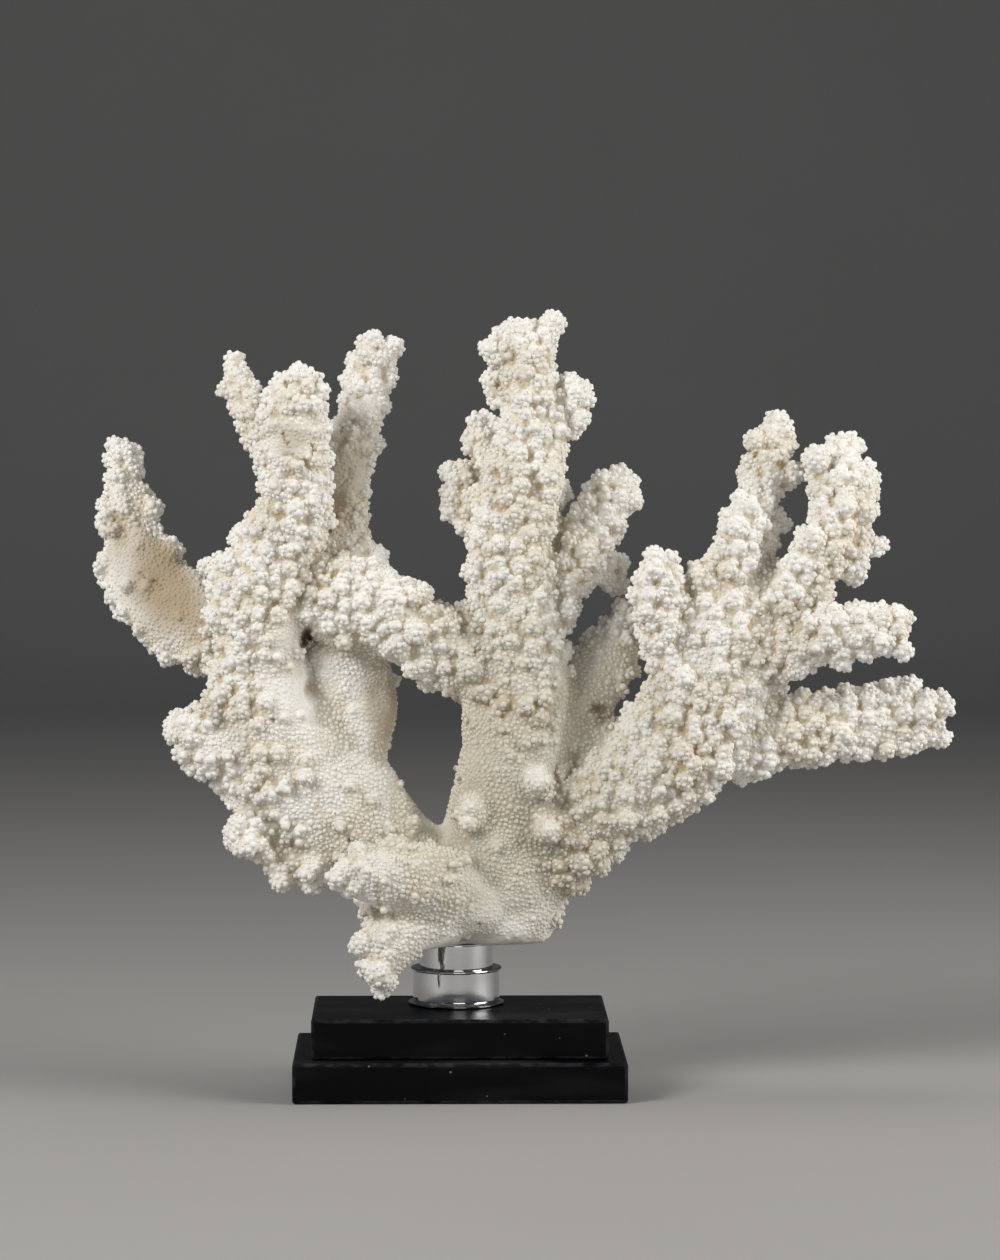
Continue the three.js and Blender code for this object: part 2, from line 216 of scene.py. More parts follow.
def joinedSolids():
    points, triangles, owners, start = [], [], [], 0
    for index, name in enumerate(coralNodes):
        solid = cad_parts[name]
        place = np.array(solid.matrix_world)
        corners = pointsOf(solid.data) @ place[:3, :3].T + place[:3, 3]
        faces = trianglesOf(solid.data)
        grid = np.round(corners / (0.001 * mm)).astype(np.int64)
        _, first, back = np.unique(grid, axis=0, return_index=True, return_inverse=True)
        points.append(corners[first])
        triangles.append(back.reshape(-1)[faces] + start)
        owners.append(np.full(len(faces), index))
        start += len(first)
    return np.concatenate(points), np.concatenate(triangles), np.concatenate(owners)


def nearestNode(points):
    tree = BVHTree.FromPolygons(solidPoints.tolist(), solidTriangles.tolist())
    return solidOwners[[tree.find_nearest(point)[2] for point in points]]


solidPoints, solidTriangles, solidOwners = joinedSolids()
swollen = solidPoints + vertexNormals(solidPoints, solidTriangles) * coralForm["closeForks"]
form = voxelSkin("coralForm", swollen, solidTriangles, coralForm["voxel"])
formEdges = edgesOf(form)
formTriangles = trianglesOf(form)
formPoints = relaxed(pointsOf(form), formEdges, coralForm["meltRounds"])
formNormals = vertexNormals(formPoints, formTriangles)
broad = relaxed(formPoints, formEdges, coralForm["broadRounds"])
standing = np.einsum("ij,ij->i", formNormals, formPoints - broad)
tipness = np.clip((standing - coralForm["tipHeight"][0]) / np.ptp(coralForm["tipHeight"]), 0, 1)
knobShare = np.array([knobs["share"].get(name, knobs["usualShare"]) for name in coralNodes])
knobShare = knobShare[nearestNode(formPoints)]
knobShare = np.maximum(relaxed(knobShare[:, None], formEdges, knobs["blendRounds"])[:, 0],
                       knobs["usualShare"] * patchShare(formPoints, "rough"))
fill = np.maximum(-standing - coralForm["crease"], 0) * (1 - patchShare(formPoints))
for size, height in coralForm["ground"]:
    fill += height * waves(formPoints, size, coralForm["groundSeed"]) * np.clip(1 - knobShare, 0, 1)
formPoints = relaxed(formPoints + formNormals * fill[:, None], formEdges, coralForm["settleRounds"])
formNormals = vertexNormals(formPoints, formTriangles)
print("coral form:", len(formPoints), "points")

flatBase = {"right": -18 * mm, "below": 74 * mm, "level": 68.15 * mm}   # the foot is cut flat


def spreadOut(points, reach, order):
    tree = kdtree.KDTree(len(points))
    for index, point in enumerate(points):
        tree.insert(point, index)
    tree.balance()
    free = np.ones(len(points), dtype=bool)
    kept = []
    for index in order:
        if free[index]:
            kept.append(index)
            for _, near, _ in tree.find_range(points[index], reach[index]):
                free[near] = False
    return np.array(kept)


def ballsMesh(centres, radii, detail):
    ball = bmesh.new()
    bmesh.ops.create_icosphere(ball, subdivisions=detail, radius=1.0)
    shape = np.array([v.co for v in ball.verts])
    faces = np.array([[v.index for v in f.verts] for f in ball.faces])
    ball.free()
    points = centres[:, None, :] + radii[:, None, None] * shape[None]
    index = faces[None] + (np.arange(len(centres)) * len(shape))[:, None, None]
    return points.reshape(-1, 3), index.reshape(-1, 3)


def withBalls(name, points, triangles, balls, voxel):
    ballPoints, ballTriangles = balls
    return voxelSkin(name, np.concatenate([points, ballPoints]),
                     np.concatenate([triangles, ballTriangles + len(points)]), voxel)


def limbThickness(points, normals):
    tree = BVHTree.FromPolygons(formPoints.tolist(), formTriangles.tolist())
    through = [tree.ray_cast(Vector(p - n * mm), Vector(-n))[3] for p, n in zip(points, normals)]
    return np.array([far if far else knobs["thickest"] for far in through])


def flatFoot(points):
    return (points[:, 0] > flatBase["right"]) & (points[:, 2] < flatBase["below"])


def growKnobs():
    random = np.random.default_rng(knobs["seed"])
    count = len(formPoints)
    thick = relaxed(limbThickness(formPoints, formNormals)[:, None], formEdges, 6)[:, 0]
    tip = relaxed(tipness[:, None], formEdges, 4)[:, 0] * np.clip(1 + knobShare, 0, 1)
    tip[flatFoot(formPoints)] = 0
    giveMost, radiusMost = knobs["thickness"]
    radius = knobs["small"] + (knobs["large"] - knobs["small"]) * tip
    radius *= np.exp(random.normal(0, knobs["spread"], count))
    chance = np.clip(knobShare + knobs["tipGain"] * tip, 0, 1) * (1 - patchShare(formPoints))
    chance[flatFoot(formPoints)] = 0
    radius = np.minimum(radius, thick * radiusMost)
    radius *= knobs["smallest"] + (1 - knobs["smallest"]) * chance
    seat = knobs["sink"] + (knobs["lift"] - knobs["sink"]) * tip
    spots = formPoints + random.normal(0, knobs["stray"], formPoints.shape)
    kept = spreadOut(spots, radius * knobs["spacing"], random.permutation(count))
    clump, level, uneven = knobs["clumps"]
    kept = kept[level + uneven * waves(spots[kept], clump, knobs["clumpSeed"]) < chance[kept]]
    flat, full = knobs["drawIn"]
    give = (flat + (full - flat) * tip) * relaxed(chance[:, None], formEdges, 12)[:, 0]
    inward = formNormals * np.minimum(give, thick * giveMost)[:, None]
    centres = spots[kept] - inward[kept] + formNormals[kept] * (radius * seat)[kept][:, None]
    print("coral knobs:", len(kept))
    return withBalls("coralKnobs", formPoints - inward, formTriangles,
                     ballsMesh(centres, radius[kept], 2), knobs["voxel"])


coralSkin = {
    "smoothRounds": 1,
    "hollowRounds": 10,          # reach of the crevice mask
    "hollowDepth": 0.8 * mm,     # lying this deep counts as a full crevice
    "shelter": (0.8 * mm, 1.6 * mm),     # standing out less than this is sheltered, and how gradually
    "root": (0.022, 0.0, 0.130),
    "rootShape": (1.0, 0.5, 0.75),
    "rootReach": 75 * mm,        # the oldest, dullest ground
    "rootEdge": 1.25,
    "patches": ((30 * mm, 1.6, 3), (11 * mm, 0.8, 5)),   # uneven tone: size, strength, seed
    "tipPatches": 0.7,           # tips keep clear of it by this share
    "labelRounds": 14,
    "smallIsland": 400,          # an island of fewer triangles joins its neighbour
    "rimDepth": 3.0 * mm,        # the cut edges turn in under the surface
}
skin = growKnobs()
skinEdges = edgesOf(skin)
skinPoints = relaxed(pointsOf(skin), skinEdges, coralSkin["smoothRounds"])
below = (skinPoints[:, 0] > flatBase["right"]) & (skinPoints[:, 2] < flatBase["level"])
skinPoints[below, 2] = flatBase["level"]
print("coral skin:", len(skinPoints), "points")

skinNormals = vertexNormals(skinPoints, trianglesOf(skin))
calm = relaxed(skinPoints, skinEdges, coralSkin["hollowRounds"])
hollow = -np.einsum("ij,ij->i", skinNormals, skinPoints - calm) / coralSkin["hollowDepth"]
hollow = np.clip(relaxed(hollow[:, None], skinEdges, 1)[:, 0], -1, 1)

formTree = BVHTree.FromPolygons(formPoints.tolist(), formTriangles.tolist())
formNear = kdtree.KDTree(len(formPoints))
for index, point in enumerate(formPoints):
    formNear.insert(point, index)
formNear.balance()
lowest, gradual = coralSkin["shelter"]
shelter = np.clip((lowest - standing) / gradual, 0, 1)
skinNear = np.array([formNear.find(point)[1] for point in skinPoints])
skinShelter = shelter[skinNear]
rootAway = (skinPoints - np.array(coralSkin["root"])) * np.array(coralSkin["rootShape"])
rootAway = np.linalg.norm(rootAway, axis=1)
skinAge = np.clip(coralSkin["rootEdge"] - rootAway / coralSkin["rootReach"], 0, 1)
skinPatches = np.full(len(skinPoints), 0.5)
for size, strength, seed in coralSkin["patches"]:
    skinPatches += strength * waves(skinPoints, size, seed)
skinPatches = np.clip(skinPatches, 0, 1) * (1 - coralSkin["tipPatches"] * tipness[skinNear])

# marks seen on the front: middle x, z and half width, half height in mm, lean in degrees,
# depth in mm, then how ochre (less than none: fresh and white) and how dark; on some spots these are
# stains, on others painted shade
marks = {
    "spots": [
        # the hole and four pits: their dark is painted shade inside them
        (-70.5, 212, 3.6, 5.4, -20, 6.0, 0.5, 0.95),
        (-88, 246, 1.2, 1.4, 0, 1.5, 0.4, 0.9),
        (-86, 174, 1.2, 1.2, 0, 1.2, 0.4, 0.8),
        (-51, 118, 1.3, 1.2, 0, 1.4, 0.4, 0.8),
        (9, 79, 1.2, 1.0, 0, 1.2, 0.4, 0.8),
        (-77, 303, 9.0, 8.0, 10, 2.2, 0.45, 0.0),
        (-158, 257, 6.0, 9.0, -15, 1.6, 0.5, 0.0),
        # right half of the far-left branch: tan stain together with the painted shadow of the column
        (-137, 235, 20, 38, 28, 0.0, 0.85, 0.08),
        (-154, 246, 14, 32, 20, 0.0, 0.3, 0.06),
        # right half of the inner lobe and then a recess: ochre and dark here are painted shade
        (-35, 180, 11, 26, 0, 0.0, 0.6, 0.12),
        (65, 177, 5.0, 3.6, -20, 2.0, 0.5, 0.3),
        (4, 131, 8.5, 11.0, 15, -0.8, -0.6, 0.0),
        (35.5, 146.5, 6.0, 8.0, 0, -1.0, -0.6, 0.0),
        (48, 149, 2.6, 4.2, 0, -3.0, -1.0, 0.0),
        (40.5, 125.5, 6.0, 8.5, 5, -0.8, -0.6, 0.0),
        (12, 78, 34, 9, 0, 0.0, -0.7, 0.0),
        # the left-centre branch's shaded half and the recess by the front lobe: ochre and dark here are
        # painted shade
        (-54, 284, 13, 34, -10, 0.0, 0.6, 0.14),
        (-45, 83, 5.0, 8.0, 20, 1.0, 0.5, 0.15),
    ],
    "cracks": [                  # from x, z to x, z in mm, half width, depth, ochre, dark
        (-80, 307, -79, 300.5, 0.6, 1.2, 0.9, 0.45),
        (-68.5, 301, -67.5, 296.5, 0.6, 0.9, 0.9, 0.25),
        (-80.5, 297, -69.5, 294.5, 0.7, 0.9, 0.7, 0.1),
        (-51, 291, -55, 280, 0.45, 0.6, 0.8, 0.2),
        (-149, 241, -139, 233, 0.5, 1.0, 0.8, 0.45),
        (-97, 180, -96, 206, 0.8, 0.6, 0.6, 0.0),
        (-37, 90, -38, 101, 0.7, 0.5, 0.6, 0.0),
    ],
    "reach": 9 * mm,             # how far behind the front face a mark is felt
    "waver": 0.8 * mm,           # how far an outline strays
    "waverSteps": (2.1 * mm, 1.7 * mm),
    "spotWaver": 0.4,            # share of it that a spot takes up
    "lobing": 0.12,              # how far a spot is from an ellipse
    "edges": (1.2, 0.9, 0.4),    # a spot ends at this many radii, and how softly: pressed in, raised
    "crackEdge": 1.5,
}


def frontDepth(x, z):
    hit = formTree.ray_cast(Vector((x, -1, z)), Vector((0, 1, 0)))[0]
    return hit.y if hit else None


def pressMarks(points, normals):
    push = np.zeros(len(points))
    ochreAndShade = np.zeros(len(points))
    dark = np.zeros(len(points))
    fresh = np.zeros(len(points))
    x, y, z = points.T
    stepX, stepZ = marks["waverSteps"]
    shake = np.stack([np.sin(z / stepX), np.sin(x / stepZ)], axis=1) * marks["waver"]
    ends, softPit, softNub = marks["edges"]

    def press(share, depth, tint, shade):
        np.add(push, share * depth * mm, out=push)
        np.maximum(ochreAndShade, share * tint, out=ochreAndShade)
        np.maximum(fresh, share * -tint, out=fresh)
        np.maximum(dark, share * shade, out=dark)

    for middleX, middleZ, wide, high, lean, depth, tint, shade in marks["spots"]:
        front = frontDepth(middleX * mm, middleZ * mm)
        turn = math.radians(lean)
        across = (x - middleX * mm + marks["spotWaver"] * shake[:, 0]) / mm
        up = (z - middleZ * mm + marks["spotWaver"] * shake[:, 1]) / mm
        u = (across * math.cos(turn) + up * math.sin(turn)) / wide
        v = (up * math.cos(turn) - across * math.sin(turn)) / high
        away = np.hypot(u, v) * (1 + marks["lobing"] * np.sin(3 * np.arctan2(v, u) + middleX))
        share = np.clip((ends - away) / (softNub if depth < 0 else softPit), 0, 1)
        share = share * (np.abs(y - front) < marks["reach"])
        press(share * share * (3 - 2 * share), depth, tint, shade)
    for startX, startZ, endX, endZ, half, depth, tint, shade in marks["cracks"]:
        front = frontDepth((startX + endX) / 2 * mm, (startZ + endZ) / 2 * mm)
        start = np.array([startX, startZ])
        line = np.array([endX, endZ]) - start
        place = np.stack([x, z], axis=1) / mm + shake / mm - start
        along = np.clip(place @ line / (line @ line), 0, 1)
        away = np.linalg.norm(place - along[:, None] * line, axis=1) / half
        share = np.clip(marks["crackEdge"] - away, 0, 1) * (np.abs(y - front) < marks["reach"])
        press(share, depth, tint, shade)
    facing = np.clip(-normals[:, 1] * 2, 0, 1)
    pressed = points + np.array([0, 1, 0]) * (push * facing)[:, None]
    return pressed, ochreAndShade * facing, dark * facing, fresh * facing


skinPoints, skinOchreAndShade, skinDark, skinFresh = pressMarks(skinPoints, skinNormals)
skinAge *= 1 - skinFresh
skinNormals = vertexNormals(skinPoints, trianglesOf(skin))
print("coral marks pressed")


# coral: the skin is cut at the forks into one piece for each node

def groupsOf(pairs, count):
    group = np.arange(count)
    while True:
        left, right = group[pairs[:, 0]], group[pairs[:, 1]]
        apart = left != right
        if not apart.any():
            return group
        high, low = np.maximum(left, right)[apart], np.minimum(left, right)[apart]
        group[high] = low
        while (group[group] != group).any():
            group = group[group]


def sidesOf(triangles):
    return np.concatenate([triangles[:, [0, 1]], triangles[:, [1, 2]], triangles[:, [2, 0]]])


def faceOwners(triangles):
    score = np.eye(len(coralNodes))[nearestNode(skinPoints)]
    score = relaxed(score, skinEdges, coralSkin["labelRounds"], 0.8)
    owner = score[triangles].sum(axis=1).argmax(axis=1)
    sides = np.sort(sidesOf(triangles), axis=1)
    key = sides[:, 0].astype(np.int64) * len(skinPoints) + sides[:, 1]
    order = np.argsort(key, kind="stable")
    same = np.nonzero(key[order][1:] == key[order][:-1])[0]
    pairs = np.stack([order[same], order[same + 1]], axis=1) % len(triangles)
    for _ in range(3):
        inside = owner[pairs[:, 0]] == owner[pairs[:, 1]]
        group = groupsOf(pairs[inside], len(owner))
        small = np.bincount(group, minlength=len(owner))[group] < coralSkin["smallIsland"]
        for left, right in ((0, 1), (1, 0)):
            edge = pairs[~inside & small[pairs[:, left]] & ~small[pairs[:, right]]]
            taker = dict(zip(group[edge[:, left]].tolist(), owner[edge[:, right]].tolist()))
            for island, winner in taker.items():
                owner[group == island] = winner
    return owner


def cutRings(triangles):
    half = sidesOf(triangles)
    key = half[:, 0].astype(np.int64) * len(skinPoints) + half[:, 1]
    back = half[:, 1].astype(np.int64) * len(skinPoints) + half[:, 0]
    follow = {}
    for start, end in half[~np.isin(back, key)].tolist():
        follow.setdefault(start, []).append(end)
    while follow:
        here = next(iter(follow))
        ring = []
        while here in follow:
            ends = follow[here]
            ahead = ends.pop()
            if not ends:
                del follow[here]
            ring.append((here, ahead))
            here = ahead
        yield ring


def closedPiece(triangles):
    extra, faces = [], []
    for ring in cutRings(triangles):
        starts = [start for start, _ in ring]
        inner = skinPoints[starts] - calmNormals[starts] * coralSkin["rimDepth"]
        first = len(skinPoints) + len(extra)
        place = {start: first + step for step, start in enumerate(starts)}
        middle = first + len(starts)
        extra += inner.tolist() + [inner.mean(axis=0).tolist()]
        for start, end in ring:
            if end in place:
                low, ahead = place[start], place[end]
                faces += [(end, start, low), (end, low, ahead), (ahead, low, middle)]
    faces = np.concatenate([triangles, np.array(faces, dtype=triangles.dtype).reshape(-1, 3)])
    used, faces = np.unique(faces, return_inverse=True)
    return used, faces.reshape(-1, 3), np.array(extra).reshape(-1, 3)


def withInside(values, inside):
    return np.concatenate([values, np.zeros((len(inside),) + values.shape[1:])])


def setValues(mesh, name, values):
    mesh.attributes.new(name, "FLOAT", "POINT").data.foreach_set("value", values.astype(np.float32))


skinTriangles = trianglesOf(skin)
calmNormals = vertexNormals(calm, skinTriangles)
skinValues = {"hollow": hollow, "shelter": skinShelter, "age": skinAge, "patches": skinPatches,
              "ochreAndShade": skinOchreAndShade, "dark": skinDark}


# coral: a granule is a small dome half sunk in the skin

granules = {
    "seed": 7,
    "tries": 600000,
    "radius": (1.25 * mm, 1.6 * mm),     # on calm ground and on knobs
    "spread": 0.20,
    "spacing": (1.3, 1.5),       # distance between neighbours, in radii, on both
    "sink": (-0.32, -0.2, -0.6),         # seat on calm ground, on knobs and in clefts
    "cleftGain": 1.8,
    "plainSink": -0.62,          # seat on smooth patches
    "freshPlain": 0.8,           # fresh stone counts as this smooth
    "bumpy": (10, 3, 0.3),       # what counts as knobs: reach, gain and level of the relief
    "underside": -0.5,           # none on the flat cut of the foot
    "darkest": 0.3,              # and none in holes and cracks
    "crown": (3, 34),            # corners and tilt of the dome's top
    "rim": (6, 96),              # and of its rim
    "crownValue": (1.0, 0.1, 0.6),       # bead tone at the top, at the rim and on smooth ground; a low tone gets dirt and painted shade
}


def domeShape():
    corners = []
    for count, tilt in (granules["crown"], granules["rim"]):
        for step in range(count):
            turn = 2 * math.pi * step / count
            across, up = math.sin(math.radians(tilt)), math.cos(math.radians(tilt))
            corners.append((across * math.cos(turn), across * math.sin(turn), up))
    faces = [(0, 1, 2), (3, 5, 4), (3, 6, 5), (3, 7, 6), (3, 8, 7)]
    for step in range(3):
        ahead = (step + 1) % 3
        rim, middle, far = 3 + 2 * step, 4 + 2 * step, 3 + 2 * ahead
        faces += [(step, rim, middle), (step, middle, ahead), (ahead, middle, far)]
    return np.array(corners), np.array(faces)


def placeGranules():
    random = np.random.default_rng(granules["seed"])
    a, b, c = (skinPoints[skinTriangles[:, corner]] for corner in range(3))
    area = np.linalg.norm(np.cross(b - a, c - a), axis=1)
    face = random.choice(len(skinTriangles), granules["tries"], p=area / area.sum())
    weights = random.dirichlet((1, 1, 1), granules["tries"])
    corners = skinTriangles[face]
    spots = np.einsum("ij,ijk->ik", weights, skinPoints[corners])
    normals = np.einsum("ij,ijk->ik", weights, skinNormals[corners])
    normals /= np.linalg.norm(normals, axis=1)[:, None]
    near = corners[np.arange(len(corners)), weights.argmax(axis=1)]
    calmRadius, knobRadius = granules["radius"]
    rounds, gain, level = granules["bumpy"]
    bumpy = np.clip(gain * relaxed(np.abs(hollow)[:, None], skinEdges, rounds)[:, 0] - level, 0, 1)
    radius = calmRadius + (knobRadius - calmRadius) * bumpy[near]
    radius = radius * np.exp(random.normal(0, granules["spread"], len(spots)))
    calmSpacing, knobSpacing = granules["spacing"]
    spacing = calmSpacing + (knobSpacing - calmSpacing) * bumpy[near]
    kept = spreadOut(spots, radius * spacing, range(len(spots)))
    cut = flatFoot(spots[kept]) & (normals[kept, 2] < granules["underside"])
    kept = kept[~cut & (skinDark[near[kept]] < granules["darkest"])]
    calmSeat, knobSeat, cleftSeat = granules["sink"]
    seat = calmSeat + (knobSeat - calmSeat) * bumpy[near[kept]]
    seat += (cleftSeat - seat) * np.clip(granules["cleftGain"] * hollow[near[kept]], 0, 1)
    plain = np.maximum(patchShare(spots[kept]), flatFoot(spots[kept]))
    plain = np.maximum(plain, granules["freshPlain"] * skinFresh[near[kept]])
    seat += (granules["plainSink"] - seat) * plain
    centres = spots[kept] + normals[kept] * (radius[kept] * seat)[:, None]
    side = np.cross(normals[kept], random.normal(0, 1, (len(kept), 3)))
    side /= np.linalg.norm(side, axis=1)[:, None]
    frames = np.stack([side, np.cross(normals[kept], side), normals[kept]], axis=1)
    print("coral granules:", len(kept))
    return centres, radius[kept], frames, near[kept], face[kept]


owners = faceOwners(skinTriangles)
domeCorners, domeFaces = domeShape()
domeCentres, domeRadii, domeFrames, domeNear, domeFace = placeGranules()
topValue, rimValue, plainValue = granules["crownValue"]
domeCrown = np.where(np.arange(len(domeCorners)) < granules["crown"][0], topValue, rimValue)
coralPieces = []
for index, name in enumerate(coralNodes):
    used, faces, inside = closedPiece(skinTriangles[owners == index])
    points = np.concatenate([skinPoints, inside])[used]
    normals = np.concatenate([skinNormals, np.tile([0.0, 0.0, 1.0], (len(inside), 1))])[used]
    mine = np.nonzero(owners[domeFace] == index)[0]
    radial = np.einsum("ij,njk->nik", domeCorners, domeFrames[mine])
    domes = domeCentres[mine][:, None] + domeRadii[mine][:, None, None] * radial
    domeIndex = domeFaces[None] + (len(points) + len(domeCorners) * np.arange(len(mine)))[:, None, None]
    faces = np.concatenate([faces, domeIndex.reshape(-1, 3)])
    mesh = meshFromFaces(name + ".skin", np.concatenate([points, domes.reshape(-1, 3)]), faces)
    mesh.polygons.foreach_set("use_smooth", np.ones(len(faces), dtype=bool))
    mesh.normals_split_custom_set_from_vertices(np.concatenate([normals, radial.reshape(-1, 3)]).tolist())
    for key, values in skinValues.items():
        ground = withInside(values, inside)[used]
        setValues(mesh, key, np.concatenate([ground, np.repeat(values[domeNear[mine]], len(domeCorners))]))
    crown = np.concatenate([plainValue * patchShare(points), np.tile(domeCrown, len(mine))])
    setValues(mesh, "crown", crown)
    piece = objectFromMesh(mesh)
    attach(piece, "root")
    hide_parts(name)
    coralPieces.append(piece)
triangleCounts = [len(piece.data.polygons) for piece in coralPieces]
print("coral pieces:", len(coralPieces), "of", sum(triangleCounts), "triangles, most", max(triangleCounts))


# shader helpers

def feed(tree, socket, value):
    if isinstance(value, bpy.types.NodeSocket):
        tree.links.new(value, socket)
    else:
        socket.default_value = value


def addNode(tree, kind, settings=None, **inputs):
    made = tree.nodes.new(kind)
    for key, value in (settings or {}).items():
        setattr(made, key, value)
    for key, value in inputs.items():
        feed(tree, made.inputs[key], value)
    return made


def addMath(tree, operation, *values):
    made = tree.nodes.new("ShaderNodeMath")
    made.operation = operation
    for socket, value in zip(made.inputs, values):
        feed(tree, socket, value)
    return made.outputs[0]


def addMix(tree, share, first, second):
    made = tree.nodes.new("ShaderNodeMix")
    made.data_type = "RGBA"
    for name, value in (("Factor_Float", share), ("A_Color", first), ("B_Color", second)):
        feed(tree, next(s for s in made.inputs if s.identifier == name), value)
    return next(s for s in made.outputs if s.identifier == "Result_Color")


def addSteps(tree, value, low, high, lowTo=0.0, highTo=1.0):
    made = tree.nodes.new("ShaderNodeMapRange")
    made.interpolation_type = "SMOOTHSTEP"
    tree.links.new(value, made.inputs["Value"])
    for key, number in (("From Min", low), ("From Max", high), ("To Min", lowTo), ("To Max", highTo)):
        made.inputs[key].default_value = number
    return made.outputs["Result"]


def attribute(tree, name):
    return addNode(tree, "ShaderNodeAttribute", {"attribute_name": name}).outputs["Fac"]


def newMaterial(name):
    material = bpy.data.materials.new(name)
    material.use_nodes = True
    return material, material.node_tree, material.node_tree.nodes["Principled BSDF"]


# coral material

coralLook = {
    "white": (0.90, 0.885, 0.845, 1),
    "cream": (0.74, 0.67, 0.54, 1),
    # ochre and grey also paint shade in clefts, between granules and in forks; shade paints the inside of
    # holes and pits
    "ochreAndShade": (0.42, 0.315, 0.175, 1),
    "aged": (0.60, 0.57, 0.475, 1),
    "grey": (0.40, 0.36, 0.28, 1),
    "shade": (0.045, 0.030, 0.018, 1),
    "grain": 300.0,              # fine grain per metre
    "grainBump": 0.5 * mm,
    "roughness": (0.70, 0.92),
}


def coralMaterial():
    material, tree, surface = newMaterial("coralLimestone")
    where = addNode(tree, "ShaderNodeTexCoord").outputs["Object"]
    deep, shelter, age, patches, crown = (attribute(tree, name) for name in
                                          ("hollow", "shelter", "age", "patches", "crown"))
    fine = addNode(tree, "ShaderNodeTexNoise", Vector=where, Scale=coralLook["grain"], Detail=2.0)
    fine = fine.outputs["Fac"]

    # white stone, creamier in its hollows, partly as painted shade, and dull where it is old
    speckle = addSteps(tree, fine, 0.45, 0.75, 0.0, 0.35)
    colour = addMix(tree, speckle, coralLook["white"], coralLook["cream"])
    colour = addMix(tree, addSteps(tree, deep, -0.15, 0.7), colour, coralLook["cream"])
    colour = addMix(tree, addSteps(tree, patches, 0.35, 1.0, 0.0, 0.4), colour, coralLook["cream"])
    colour = addMix(tree, addMath(tree, "MULTIPLY", age, 0.85), colour, coralLook["aged"])

    # ochre lies between the granules and in the clefts, partly as dirt and partly as painted shade; grey in
    # the sheltered forks is painted shade with some dirt
    between = addSteps(tree, crown, 0.25, 0.6, 1.0, 0.0)
    dirtAndShade = addMath(tree, "MULTIPLY", between, addSteps(tree, age, 0.0, 1.0, 0.22, 0.5))
    dirtAndShade = addMath(tree, "ADD", dirtAndShade, addSteps(tree, deep, 0.1, 0.8, 0.0, 0.85))
    dirtAndShade = addMath(tree, "MULTIPLY", dirtAndShade, addMath(tree, "MULTIPLY_ADD", patches, 0.7, 0.3))
    colour = addMix(tree, dirtAndShade, colour, coralLook["ochreAndShade"])
    forkDirtAndShade = addSteps(tree, between, 0.0, 1.0, 0.35, 0.8)
    forkDirtAndShade = addMath(tree, "MULTIPLY", addSteps(tree, shelter, 0.3, 1.0), forkDirtAndShade)
    colour = addMix(tree, forkDirtAndShade, colour, coralLook["grey"])
    # mark tints: stains and crack lines, and painted shade in the hole, pits, recesses and shaded halves of
    # branches
    colour = addMix(tree, attribute(tree, "ochreAndShade"), colour, coralLook["ochreAndShade"])
    colour = addMix(tree, attribute(tree, "dark"), colour, coralLook["shade"])
    tree.links.new(colour, surface.inputs["Base Color"])
    tree.links.new(addSteps(tree, fine, 0.3, 0.7, *coralLook["roughness"]), surface.inputs["Roughness"])
    bump = addNode(tree, "ShaderNodeBump", Height=fine, Distance=coralLook["grainBump"], Strength=0.6)
    tree.links.new(bump.outputs["Normal"], surface.inputs["Normal"])
    return material


coralStone = coralMaterial()
for piece in coralPieces:
    piece.data.materials.append(coralStone)
print("coral material done")


# dust specks and smudges, shared by the stand's two finishes

def dustGroup():
    group = bpy.data.node_groups.new("dustAndSmudge", "ShaderNodeTree")
    group.interface.new_socket("Position", in_out="INPUT", socket_type="NodeSocketVector")
    group.interface.new_socket("Specks", in_out="OUTPUT", socket_type="NodeSocketFloat")
    group.interface.new_socket("Smudge", in_out="OUTPUT", socket_type="NodeSocketFloat")
    where = group.nodes.new("NodeGroupInput").outputs["Position"]
    out = group.nodes.new("NodeGroupOutput")
    dots = addNode(group, "ShaderNodeTexVoronoi", Vector=where, Scale=240.0)
    few = addNode(group, "ShaderNodeSeparateColor", Color=dots.outputs["Color"]).outputs["Red"]
    dot = addSteps(group, dots.outputs["Distance"], 0.16, 0.06)
    specks = addMath(group, "MULTIPLY", dot, addSteps(group, few, 0.90, 0.96))
    wipe = addNode(group, "ShaderNodeMapping", Vector=where, Scale=(0.4, 1.0, 2.2))
    cloud = addNode(group, "ShaderNodeTexNoise", Vector=wipe.outputs["Vector"], Scale=38.0, Detail=5.0)
    group.links.new(specks, out.inputs["Specks"])
    group.links.new(addSteps(group, cloud.outputs["Fac"], 0.42, 0.72), out.inputs["Smudge"])
    return group


dust = dustGroup()


def addDust(tree):
    where = addNode(tree, "ShaderNodeTexCoord").outputs["Object"]
    return addNode(tree, "ShaderNodeGroup", {"node_tree": dust}, Position=where).outputs


# plinth: two painted boards with softened edges

plinth = {
    "edge": 1.3 * mm,            # rounding of the boards' edges
    "edgeSteps": 3,
    "highlightAndWearBand": 1.4 * mm,        # paint is worn, and painted lighter as an edge highlight, this far in from an edge
    "paint": (0.0022, 0.0022, 0.0028, 1),
    "wornPaintAndHighlight": (0.020, 0.021, 0.024, 1),
    "dustColour": (0.20, 0.20, 0.20, 1),
    "shine": 0.07,
    "chipDepth": 0.05 * mm,
    "smallSide": 4e-4,           # faces above this many square metres are a board's sides
    "crispAngle": 35,
}


